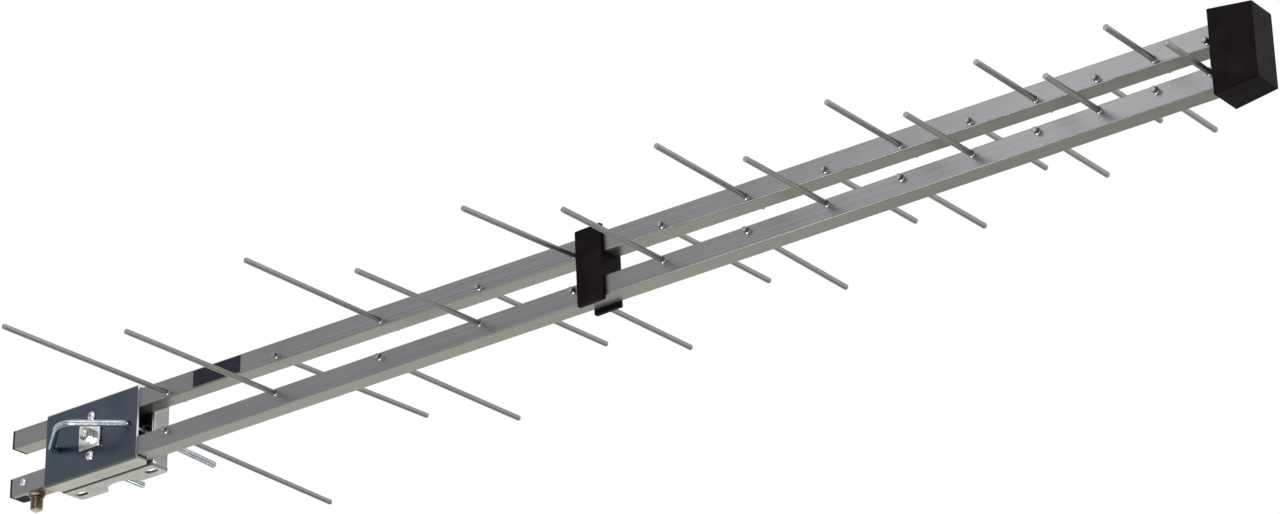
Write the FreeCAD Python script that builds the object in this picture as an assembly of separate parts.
import FreeCAD, Part
import math
import os

Vector = FreeCAD.Vector
Rotation = FreeCAD.Rotation
Placement = FreeCAD.Placement

# Log periodic antenna, in millimetres.
# The origin is on the axis of the mast it clamps to, at the middle of its height.
# +X runs along the booms to the short rods, +Z is up, and the booms lie on the -Y side of the mast.
# "near" is the -Y side, which carries the clamp's channel, and "far" is the mast side.

# Booms: two square tubes, one above the other, that close in towards the front
boom_side = 15.0
boom_wall = 1.2
boom_corner = 0.8
rear_overhang = 37.5
boom_into_cap = 21.2
gap_at_clamp = 23.4
gap_at_last_station = 12.95

# Rods: each station has one near and one far rod, on opposite booms, and the booms swap at each station
station_count = 14
clamp_to_first_rod = 29.0
first_spacing = 110.0
spacing_ratio = 0.914
longest_rod = 171.0
length_ratio = 0.921
rod_diameter = 4.0
rod_inset = 4.0
rod_stub = 4.5
rod_tip_chamfer = 0.7
rod_clearance = 0.05
# Rods that are knocked out of level, in degrees, positive with the tip up
rod_lean = {("near", 4): -1.2, ("near", 5): -2.5, ("near", 7): 1.0,
            ("far", 1): -1.9, ("far", 2): 1.2, ("far", 4): 1.0, ("far", 7): -1.6}

# Mast clamp: a channel on the near faces and a saddle tray on the far faces
mast_diameter = 42.4
saddle_bite = 10.0
saddle_depth = 20.5
clamp_width = 97.0
sheet = 2.0
channel_clearance = 0.6
bend_radius = 0.6
channel_flange_gap = 1.2
channel_corner = 7.0
tray_corner = 3.0
tray_lip_corner = 7.0
tray_end_drop = 4.0
cross_slot_from_end = 11.5
cross_slot_length = 12.0
cross_slot_width = 6.0
cross_slot_from_edge = 9.6

# V-bolt: stored with its V on the near side and its threaded legs on the far side
wire_diameter = 5.0
leg_from_end = 9.5
leg_toe_in = 3.0
leg_reach = 84.0
leg_bend_stand_off = 3.0
leg_bend_radius = 5.0
v_depth = 33.5
v_apex_radius = 16.0
v_bolt_sag = 0.8
v_bolt_droop = 2.2
leg_stagger = 2.2
leg_hole_diameter = 7.2
leg_slot_length = 12.0
leg_slot_height = 8.4
leg_washer_diameter = 15.0
leg_washer_thickness = 1.2
leg_nut_across_flats = 8.0
leg_nut_height = 4.0
leg_stack_clearance = 0.45

# Fasteners of the clamp
screw_diameter = 4.0
screw_head_diameter = 7.6
screw_head_height = 2.6
screw_nut_across_flats = 7.0
screw_nut_height = 3.2
bolt_diameter = 6.0
bolt_head_diameter = 15.0
bolt_head_height = 3.3
bolt_nut_across_flats = 10.0
bolt_nut_height = 5.0
bolt_washer_length = 22.0
bolt_washer_height = 21.0
bolt_washer_thickness = 2.0
bolt_washer_corner = 2.0
thread_run_out = 2.5
thread_chamfer = 0.7
thread_clearance = 0.05
hole_clearance = 0.15

# Flats round a thin bar or its hole, and round a screw's head
bar_sides = 12
head_sides = 16

# A pan head's profile, in shares of its height and diameter
head_rim_share = 0.35
head_crown_share = 0.8
head_top_share = 0.45

# Plastic mouldings
spacer_station = 5
rod_to_spacer = 4.6
spacer_length = 22.6
spacer_lean = -1.9
spacer_rise = 0.6
spacer_overlap = 4.2
spacer_plate = 3.0
spacer_corner = 1.0
cap_from_last_rod = 4.6
cap_length = 30.0
cap_room_beside = 4.1
cap_room_above = 5.5
cap_taper_beside = 1.5
cap_taper_above = 3.6
cap_wall = 2.2
cap_corner = 1.2
cap_rib = 2.0
cap_rib_from_mouth = 6.0
cap_tongue = 4.0
cap_tongue_inset = 0.5
moulding_clearance = 0.15
plug_flange = 2.0
plug_length = 14.0
plug_wall = 1.6
plug_window_length = 11.0
plug_window_near_edge = 3.5

# Screw that holds the lower plug
plug_screw_from_end = 12.0
plug_screw_above_axis = 1.5
plug_screw_diameter = 2.9
plug_screw_head_diameter = 6.0
plug_screw_head_height = 1.8
plug_screw_length = 6.0

# Cable socket under the lower boom
socket_from_end = 20.0
socket_thread_diameter = 9.52
socket_neck_diameter = 9.0
socket_bore_diameter = 6.4
socket_drop = 13.0
socket_flange_diameter = 11.4
socket_flange_thickness = 1.5
socket_nut_across_flats = 11.1
socket_nut_height = 3.1
socket_nose_diameter = 4.8
socket_nose_length = 1.5
socket_pin_diameter = 0.9
socket_pin_hole_depth = 8.0
socket_tail = 2.5
socket_mouth_chamfer = 0.5

# Places that follow from the sizes above
mast_radius = mast_diameter / 2
half_side = boom_side / 2
boom_y = -(mast_radius - saddle_bite + saddle_depth + half_side)
near_face_y = boom_y - half_side
far_face_y = boom_y + half_side
plate_near_y = near_face_y - sheet
web_far_y = far_face_y + sheet
tray_edge_y = far_face_y + saddle_depth
clamp_height = gap_at_clamp + 2 * (boom_side + channel_clearance + sheet)
half_clamp_height = clamp_height / 2
cross_slot_spacing = clamp_width - 2 * cross_slot_from_end
leg_spacing = clamp_width - 2 * leg_from_end
rear_end_x = -clamp_width / 2 - rear_overhang
first_station_x = clamp_width / 2 + clamp_to_first_rod
stations_length = first_spacing * (1 - spacing_ratio ** (station_count - 1)) / (1 - spacing_ratio)
last_station_x = first_station_x + stations_length
cap_rear_x = last_station_x + cap_from_last_rod
front_end_x = cap_rear_x + boom_into_cap
socket_x = rear_end_x + socket_from_end
boom_floor = boom_wall - half_side
socket_top = boom_floor + socket_flange_thickness
socket_nut_low = -half_side - socket_nut_height
socket_low = -half_side - socket_drop
X_AXIS = Vector(1, 0, 0)
Y_AXIS = Vector(0, 1, 0)
Z_AXIS = Vector(0, 0, 1)


def station_x(number):
    growth = 1 - spacing_ratio ** (number - 1)
    return first_station_x + first_spacing * growth / (1 - spacing_ratio)


def rod_length(number):
    return longest_rod * length_ratio ** (number - 1)


def gap(x):
    return gap_at_clamp + (gap_at_last_station - gap_at_clamp) * x / last_station_x


boom_angle = math.degrees(math.atan((gap(0) - gap(1)) / 2))


# A boom's own frame: X along the boom, the origin on its axis above or below the mast clamp's middle
def boom_place(level):
    middle = Vector(0, boom_y, level * (gap(0) + boom_side) / 2)
    return Placement(middle, Rotation(Y_AXIS, level * boom_angle))


def placed(shape, placement):
    moved = shape.copy()
    moved.Placement = placement.multiply(moved.Placement)
    return moved


def edges_along(shape, axis):
    return [edge for edge in shape.Edges if abs(abs(edge.tangentAt(edge.FirstParameter).dot(axis)) - 1) < 1e-6]


def block(low, high, corner=0.0, axis=X_AXIS):
    box = Part.makeBox(high[0] - low[0], high[1] - low[1], high[2] - low[2], Vector(*low))
    if corner > 0:
        box = box.makeFillet(corner, edges_along(box, axis))
    return box


def cylinder(diameter, start, end):
    run = end - start
    return Part.makeCylinder(diameter / 2, run.Length, start, run)


# A solid with flat faces between outlines that have the same number of corners and run anticlockwise
# as seen from the last one
def flat_faced(outlines):
    polygons = [outlines[0][::-1], outlines[-1]]
    for below, above in zip(outlines, outlines[1:]):
        for k in range(len(below)):
            polygons.append([below[k - 1], below[k], above[k], above[k - 1]])
    faces = [Part.Face(Part.makePolygon(polygon + polygon[:1])) for polygon in polygons]
    return Part.Solid(Part.Shell(faces))


# A bar with equal flats, through rings of (height, size across flats), from start along a direction
def flat_sided(sides, rings, start, direction):
    outlines = []
    for height, across_flats in rings:
        corner_radius = across_flats / 2 / math.cos(math.pi / sides)
        turns = [2 * math.pi * (k + 0.5) / sides for k in range(sides)]
        outlines.append([Vector(corner_radius * math.cos(turn), corner_radius * math.sin(turn), height)
                         for turn in turns])
    return placed(flat_faced(outlines), Placement(start, Rotation(Z_AXIS, direction)))


def prism(sides, across_flats, start, end):
    run = end - start
    return flat_sided(sides, [(0, across_flats), (run.Length, across_flats)], start, run)


# Thin round bars and their holes repeat often, so they are drawn with flat sides
def bar(diameter, start, end):
    return prism(bar_sides, diameter, start, end)


def bar_hole(diameter, clearance, start, end):
    return prism(bar_sides, diameter + 2 * clearance, start, end)


def nut(across_flats, thread, start, end):
    return prism(6, across_flats, start, end).cut(bar_hole(thread, thread_clearance, start, end))


# A solid that cuts a round-ended slot: long along X, centred on the given point, through the given axis
def slot(length, width, depth, centre, axis):
    radius = width / 2
    half = length / 2 - radius
    outline = []
    for turn in (1, -1):
        start = Vector(turn * half, turn * radius, 0)
        end = Vector(turn * half, -turn * radius, 0)
        outline.append(Part.LineSegment(Vector(-turn * half, turn * radius, 0), start).toShape())
        outline.append(Part.Arc(start, Vector(turn * length / 2, 0, 0), end).toShape())
    cutter = Part.Face(Part.Wire(outline)).extrude(Vector(0, 0, depth))
    cutter.translate(Vector(0, 0, -depth / 2))
    return placed(cutter, Placement(centre, Rotation(Z_AXIS, axis)))


# A pan head on a flat base: a straight rim under a crown that closes in two slopes
def pan_head(diameter, height, base, direction):
    rings = [(0, diameter), (height * head_rim_share, diameter),
             (height * head_crown_share, diameter * head_crown_share), (height, diameter * head_top_share)]
    return flat_sided(head_sides, rings, base, direction)


def rod_level(number, side):
    upper = (number % 2 == 1) == (side == "near")
    return 1 if upper else -1


# A rod's own frame: Z along the rod to its tip, Y up, the origin on the boom's middle plane
def rod_place(number, side):
    x = station_x(number)
    seat = Vector(x, boom_y, rod_level(number, side) * (gap(x) / 2 + rod_inset))
    turn = 90 - rod_lean.get((side, number), 0.0)
    return Placement(seat, Rotation(X_AXIS, turn if side == "near" else -turn))


def rod(number, side):
    tail = -half_side - rod_stub
    tip = rod_length(number)
    end = rod_diameter - 2 * rod_tip_chamfer
    rings = [(tail, end), (tail + rod_tip_chamfer, rod_diameter),
             (tip - rod_tip_chamfer, rod_diameter), (tip, end)]
    return placed(flat_sided(bar_sides, rings, Vector(0, 0, 0), Z_AXIS), rod_place(number, side))


def rod_hole(number, side):
    reach = Vector(0, 0, boom_side)
    return placed(bar_hole(rod_diameter, rod_clearance, -reach, reach), rod_place(number, side))


def screw_z(level):
    return level * (gap(0) / 2 + rod_inset)


# The booms' outsides, grown by a clearance, which the mouldings are cut to
def boom_envelope(level, clearance):
    reach = half_side + clearance
    envelope = block((rear_end_x, -reach, -reach), (front_end_x + clearance, reach, reach))
    return placed(envelope, boom_place(level))


def boom(level):
    tube = block((rear_end_x, -half_side, -half_side), (front_end_x, half_side, half_side), boom_corner)
    bore = half_side - boom_wall
    tube = tube.cut(block((rear_end_x - 1, -bore, -bore), (front_end_x + 1, bore, bore)))
    through = Vector(0, boom_side, 0)
    if level < 0:
        socket_hole = bar_hole(socket_neck_diameter, hole_clearance, socket_point(-boom_side), socket_point(0))
        window = block((rear_end_x - 1, -plug_window_near_edge, -boom_side),
                       (rear_end_x + plug_window_length, boom_side, moulding_clearance - bore))
        tube = tube.cut([socket_hole, window, plug_screw_hole()])
    tube = placed(tube, boom_place(level))
    screw_middle = Vector(0, boom_y, screw_z(level))
    holes = [bar_hole(screw_diameter, hole_clearance, screw_middle - through, screw_middle + through)]
    for number in range(1, station_count + 1):
        for side in ("near", "far"):
            if rod_level(number, side) == level:
                holes.append(rod_hole(number, side))
    return tube.cut(holes)


def middle_spacer():
    half_length = spacer_length / 2
    spacer_x = station_x(spacer_station) + rod_to_spacer + spacer_length / 2
    half_height = gap(spacer_x) / 2 + boom_side + spacer_overlap
    inner = half_side + moulding_clearance
    outer = inner + spacer_plate
    plates = []
    for side in (-1, 1):
        middle_y = boom_y + side * (inner + outer) / 2
        plates.append(block((spacer_x - half_length, middle_y - spacer_plate / 2, spacer_rise - half_height),
                            (spacer_x + half_length, middle_y + spacer_plate / 2, spacer_rise + half_height),
                            spacer_corner, Y_AXIS))
    half_web = gap(spacer_x) / 2 + half_side
    web = block((spacer_x - half_length, boom_y - inner, -half_web),
                (spacer_x + half_length, boom_y + inner, half_web))
    body = plates[0].fuse([plates[1], web])
    body.rotate(Vector(spacer_x, 0, 0), Y_AXIS, spacer_lean)
    envelopes = [boom_envelope(level, moulding_clearance) for level in (1, -1)]
    return body.cut(envelopes).removeSplitter()


# The cap's four corners in the plane across X at x, drawn in from its outside by a wall or by none
def cap_outline(x, wall):
    taper = (x - cap_rear_x) / cap_length
    half_width = half_side + cap_room_beside + cap_wall - cap_taper_beside * taper - wall
    half_height = gap(cap_rear_x) / 2 + boom_side + cap_room_above + cap_wall - cap_taper_above * taper - wall
    return [Vector(x, boom_y + side_y * half_width, side_z * half_height)
            for side_y, side_z in ((1, 1), (-1, 1), (-1, -1), (1, -1))]


def front_cap():
    front_x = cap_rear_x + cap_length
    outside = flat_faced([cap_outline(cap_rear_x, 0), cap_outline(front_x, 0)])
    long_edges = [edge for edge in outside.Edges if edge.BoundBox.XLength > cap_length / 2]
    outside = outside.makeFillet(cap_corner, long_edges)
    inside = flat_faced([cap_outline(cap_rear_x, cap_wall), cap_outline(front_x - cap_wall, cap_wall)])
    shell = outside.cut(inside)
    rib_start = cap_rear_x + cap_rib_from_mouth
    rib_end = front_x - cap_wall
    upright = block((rib_start, boom_y - cap_rib / 2, -clamp_height),
                    (rib_end, boom_y + cap_rib / 2, clamp_height))
    level_ribs = []
    for level in (1, -1):
        middle = level * (gap(rib_start) / 2 + half_side)
        level_ribs.append(block((rib_start, boom_y - 2 * boom_side, middle - cap_rib / 2),
                                (rib_end, boom_y + 2 * boom_side, middle + cap_rib / 2)))
    ribs = upright.fuse(level_ribs).common(inside)
    half_tongue = half_side - cap_tongue_inset
    tongue = block((cap_rear_x - cap_tongue, boom_y - half_tongue, -half_side),
                   (rib_end, boom_y + half_tongue, half_side))
    envelopes = [boom_envelope(level, moulding_clearance) for level in (1, -1)]
    fitted = ribs.fuse(tongue).cut(envelopes)
    return shell.fuse(fitted).removeSplitter()


def rear_plug(level):
    spigot_half = half_side - boom_wall - moulding_clearance
    hollow_half = spigot_half - plug_wall
    flange = block((rear_end_x - plug_flange, -half_side, -half_side), (rear_end_x, half_side, half_side),
                   boom_corner)
    spigot = block((rear_end_x, -spigot_half, -spigot_half),
                   (rear_end_x + plug_length, spigot_half, spigot_half))
    hollow = block((rear_end_x + plug_wall, -hollow_half, -hollow_half),
                   (rear_end_x + plug_length + 1, hollow_half, hollow_half))
    body = flange.fuse(spigot).cut(hollow)
    if level < 0:
        near_edge = -plug_window_near_edge + moulding_clearance
        window_end = rear_end_x + plug_window_length - moulding_clearance
        body = body.fuse(block((rear_end_x, near_edge, -half_side), (window_end, half_side, -spigot_half)))
        body = body.cut(plug_screw_hole())
    return placed(body.removeSplitter(), boom_place(level))


def plug_screw_seat():
    return Vector(rear_end_x + plug_screw_from_end, -half_side, plug_screw_above_axis)


def plug_screw_hole():
    seat = plug_screw_seat()
    return bar_hole(plug_screw_diameter, thread_clearance, seat, seat + Vector(0, half_side, 0))


def plug_screw():
    seat = plug_screw_seat()
    shank = bar(plug_screw_diameter, seat, seat + Vector(0, plug_screw_length, 0))
    head = pan_head(plug_screw_head_diameter, plug_screw_head_height, seat, -Y_AXIS)
    return placed(shank.fuse(head).removeSplitter(), boom_place(-1))


# The cable socket stands in the lower boom's frame, on this axis
def socket_point(z):
    return Vector(socket_x, 0, z)


# A flange inside the boom, a neck through its wall and the nut, and the threaded barrel below them
def socket_body():
    barrel = cylinder(socket_thread_diameter, socket_point(socket_nut_low), socket_point(socket_low))
    mouth = [edge for edge in barrel.Edges if edge.BoundBox.ZMax < socket_low + 1e-6]
    barrel = barrel.makeChamfer(socket_mouth_chamfer, mouth)
    neck = bar(socket_neck_diameter, socket_point(socket_nut_low), socket_point(boom_floor))
    flange = prism(head_sides, socket_flange_diameter, socket_point(boom_floor), socket_point(socket_top))
    bore = bar_hole(socket_bore_diameter, thread_clearance,
                    socket_point(socket_low - 1), socket_point(socket_top + 1))
    return placed(barrel.fuse([neck, flange]).cut(bore).removeSplitter(), boom_place(-1))


def socket_insulator():
    core = bar(socket_bore_diameter, socket_point(socket_low), socket_point(socket_top))
    nose = bar(socket_nose_diameter, socket_point(socket_low - socket_nose_length), socket_point(socket_low))
    hole = bar_hole(socket_pin_diameter, thread_clearance,
                    socket_point(socket_low - socket_nose_length - 1), socket_point(socket_top + 1))
    return placed(core.fuse(nose).cut(hole).removeSplitter(), boom_place(-1))


def socket_pin():
    pin = bar(socket_pin_diameter, socket_point(socket_low + socket_pin_hole_depth),
              socket_point(socket_top + socket_tail))
    return placed(pin, boom_place(-1))


def socket_nut():
    return placed(nut(socket_nut_across_flats, socket_neck_diameter, socket_point(socket_nut_low),
                      socket_point(-half_side)), boom_place(-1))


# Holes that both clamp sheets share, as cutters along Y
def fastener_holes(middle_y):
    reach = Vector(0, 3 * sheet, 0)
    middle = Vector(0, middle_y, 0)
    cutters = [bar_hole(bolt_diameter, hole_clearance, middle - reach, middle + reach)]
    for level in (1, -1):
        centre = Vector(0, middle_y, screw_z(level))
        cutters.append(bar_hole(screw_diameter, hole_clearance, centre - reach, centre + reach))
    return cutters


def leg_centres(middle_y):
    return [Vector(side * leg_spacing / 2, middle_y, 0) for side in (-1, 1)]


# The near sheet: a channel whose flanges wrap the outer faces of both booms
def clamp_channel():
    half_width = clamp_width / 2
    lip_y = far_face_y - channel_flange_gap
    body = block((-half_width, plate_near_y, -half_clamp_height),
                 (half_width, lip_y, half_clamp_height))
    lips = [edge for edge in edges_along(body, Z_AXIS) if edge.BoundBox.YMin > boom_y]
    body = body.makeFillet(channel_corner, lips)
    folds = [edge for edge in edges_along(body, X_AXIS) if edge.BoundBox.YMax < near_face_y]
    body = body.makeFillet(sheet + bend_radius, folds)
    inner = half_clamp_height - sheet
    room = block((-half_width - 1, near_face_y, -inner), (half_width + 1, far_face_y, inner))
    folds = [edge for edge in edges_along(room, X_AXIS) if edge.BoundBox.YMax < boom_y]
    room = room.makeFillet(bend_radius, folds)
    middle_y = near_face_y - sheet / 2
    reach = Vector(0, sheet, 0)
    leg_holes = [bar_hole(leg_hole_diameter, 0, centre - reach, centre + reach)
                 for centre in leg_centres(middle_y)]
    return body.cut(room).cut(fastener_holes(middle_y) + leg_holes).removeSplitter()


# The far sheet: a tray with four walls, whose top and bottom walls are notched for the mast
def saddle_tray():
    half_width = clamp_width / 2
    lowest = (-half_width, far_face_y, -half_clamp_height)
    highest = (half_width, tray_edge_y, half_clamp_height)
    body = block(lowest, highest, tray_corner, Y_AXIS)
    for fold_axis in (X_AXIS, Z_AXIS):
        pressed = block(lowest, highest)
        folds = [edge for edge in edges_along(pressed, fold_axis) if edge.BoundBox.YMax < web_far_y]
        body = body.common(pressed.makeFillet(sheet + bend_radius, folds))
    inner_width = half_width - sheet
    inner_height = half_clamp_height - sheet
    room = block((-inner_width, web_far_y, -inner_height), (inner_width, tray_edge_y + 1, inner_height),
                 tray_corner - sheet, Y_AXIS)
    lower_ends = [block((side * half_width - sheet - 1, tray_edge_y - tray_end_drop, -inner_height),
                        (side * half_width + sheet + 1, tray_edge_y + 1, inner_height)) for side in (-1, 1)]
    mast = Part.makeCylinder(mast_radius, 2 * clamp_height, Vector(0, 0, -clamp_height))
    slots = [slot(cross_slot_length, cross_slot_width, 2 * clamp_height,
                  Vector(side * cross_slot_spacing / 2, tray_edge_y - cross_slot_from_edge, 0), Z_AXIS)
             for side in (-1, 1)]
    middle_y = far_face_y + sheet / 2
    leg_slots = [slot(leg_slot_length, leg_slot_height, 3 * sheet, centre, Y_AXIS)
                 for centre in leg_centres(middle_y)]
    body = body.cut(room).cut(lower_ends + [mast] + slots + leg_slots + fastener_holes(middle_y))
    trim = block(lowest, highest)
    lips = [edge for edge in edges_along(trim, Z_AXIS) if edge.BoundBox.YMin > boom_y + boom_side]
    return body.common(trim.makeFillet(tray_lip_corner, lips)).removeSplitter()


# A flat wire with a tangent arc at each inner point: points and radii in the plane Z = 0
def rounded_path(points, radii):
    edges = []
    start = points[0]
    for before, corner, after, radius in zip(points, points[1:], points[2:], radii):
        toward = (before - corner).normalize()
        away = (after - corner).normalize()
        half_turn = (math.pi - toward.getAngle(away)) / 2
        run = radius * math.tan(half_turn)
        bisector = (toward + away).normalize()
        centre = corner + bisector * (radius / math.cos(half_turn))
        enter = corner + toward * run
        leave = corner + away * run
        edges.append(Part.LineSegment(start, enter).toShape())
        edges.append(Part.Arc(enter, centre - bisector * radius, leave).toShape())
        start = leave
    edges.append(Part.LineSegment(start, points[-1]).toShape())
    return Part.Wire(edges)


# The V-bolt's own frame: its plane is Z = 0, with the origin between the legs at the plate's near face
def v_bolt_place():
    return Placement(Vector(0, plate_near_y, -v_bolt_sag), Rotation(X_AXIS, -v_bolt_droop))


# A leg's own frame: Z runs along the leg to its threaded end, from the plane of the plate's near face
def leg_place(side):
    toe = math.degrees(math.atan(leg_toe_in / leg_reach))
    turn = Rotation(Z_AXIS, side * toe).multiply(Rotation(X_AXIS, -90))
    return Placement(Vector(side * leg_spacing / 2, 0, 0), turn)


def v_bolt():
    leg_ends = {side: leg_reach + sheet + half_side + side * leg_stagger for side in (-1, 1)}
    ends = [leg_place(side).multVec(Vector(0, 0, leg_ends[side])) for side in (-1, 1)]
    bends = [leg_place(side).multVec(Vector(0, 0, -leg_bend_stand_off)) for side in (-1, 1)]
    path = rounded_path([ends[0], bends[0], Vector(0, -v_depth, 0), bends[1], ends[1]],
                        [leg_bend_radius, v_apex_radius, leg_bend_radius])
    tip_end = Vector(0, 0, leg_ends[-1])
    tip = placed(bar(wire_diameter, tip_end - Z_AXIS, tip_end), leg_place(-1))
    section = min(tip.Faces, key=lambda face: (face.CenterOfMass - ends[0]).Length)
    wire = Part.BRepOffsetAPI.MakePipeShell(path)
    wire.add(section.OuterWire)
    wire.build()
    wire.makeSolid()
    shape = wire.shape()
    print("v-bolt volume over section times length:", round(shape.Volume / (section.Area * path.Length), 4))
    return placed(shape, v_bolt_place())


# Washers or nuts on the legs, stacked against the far face of the tray's web
def leg_stack(sides, width, bottom, top):
    web = boom_side + 2 * sheet + leg_stack_clearance
    start = Vector(0, 0, web + bottom)
    end = Vector(0, 0, web + top)
    ring = prism(sides, width, start, end).cut(bar_hole(wire_diameter, thread_clearance, start, end))
    return Part.makeCompound([placed(placed(ring, leg_place(side)), v_bolt_place()) for side in (-1, 1)])


def boom_screws():
    pieces = []
    for level in (1, -1):
        seat = Vector(0, plate_near_y, screw_z(level))
        length = 2 * sheet + boom_side + screw_nut_height + thread_run_out
        shank = bar(screw_diameter, seat, seat + Vector(0, length, 0))
        head = pan_head(screw_head_diameter, screw_head_height, seat, -Y_AXIS)
        pieces.append(shank.fuse(head).removeSplitter())
    return Part.makeCompound(pieces)


def boom_screw_nuts():
    pieces = []
    for level in (1, -1):
        start = Vector(0, web_far_y, screw_z(level))
        end = start + Vector(0, screw_nut_height, 0)
        pieces.append(nut(screw_nut_across_flats, screw_diameter, start, end))
    return Part.makeCompound(pieces)


def clamp_bolt():
    seat = Vector(0, web_far_y, 0)
    reach = 2 * sheet + boom_side + bolt_washer_thickness + bolt_nut_height + thread_run_out
    end = bolt_diameter - 2 * thread_chamfer
    rings = [(0, bolt_diameter), (reach - thread_chamfer, bolt_diameter), (reach, end)]
    shank = flat_sided(bar_sides, rings, seat, -Y_AXIS)
    head = pan_head(bolt_head_diameter, bolt_head_height, seat, Y_AXIS)
    return shank.fuse(head).removeSplitter()


def clamp_bolt_washer():
    plate = block((-bolt_washer_length / 2, plate_near_y - bolt_washer_thickness, -bolt_washer_height / 2),
                  (bolt_washer_length / 2, plate_near_y, bolt_washer_height / 2), bolt_washer_corner, Y_AXIS)
    reach = Vector(0, 2 * sheet, 0)
    middle = Vector(0, plate_near_y, 0)
    return plate.cut(bar_hole(bolt_diameter, hole_clearance, middle - reach, middle + reach))


def clamp_bolt_nut():
    start = Vector(0, plate_near_y - bolt_washer_thickness, 0)
    return nut(bolt_nut_across_flats, bolt_diameter, start, start - Vector(0, bolt_nut_height, 0))


nodes = {"upper_boom": boom(1), "lower_boom": boom(-1)}
for number in range(1, station_count + 1):
    for side in ("near", "far"):
        nodes["rod_%02d_%s" % (number, side)] = rod(number, side)
nodes["middle_spacer"] = middle_spacer()
nodes["front_cap"] = front_cap()
nodes["upper_rear_plug"] = rear_plug(1)
nodes["lower_rear_plug"] = rear_plug(-1)
nodes["plug_screw"] = plug_screw()
nodes["socket_body"] = socket_body()
nodes["socket_insulator"] = socket_insulator()
nodes["socket_pin"] = socket_pin()
nodes["socket_nut"] = socket_nut()
nodes["clamp_channel"] = clamp_channel()
nodes["saddle_tray"] = saddle_tray()
nodes["v_bolt"] = v_bolt()
nodes["leg_washers"] = leg_stack(head_sides, leg_washer_diameter, 0, leg_washer_thickness)
nodes["leg_nuts"] = leg_stack(6, leg_nut_across_flats, leg_washer_thickness,
                              leg_washer_thickness + leg_nut_height)
nodes["boom_screws"] = boom_screws()
nodes["boom_screw_nuts"] = boom_screw_nuts()
nodes["clamp_bolt"] = clamp_bolt()
nodes["clamp_bolt_washer"] = clamp_bolt_washer()
nodes["clamp_bolt_nut"] = clamp_bolt_nut()

os.makedirs("parts", exist_ok=True)
for name, shape in nodes.items():
    shape.exportStep("parts/%s.step" % name)
print(len(nodes), "sub-parts written")
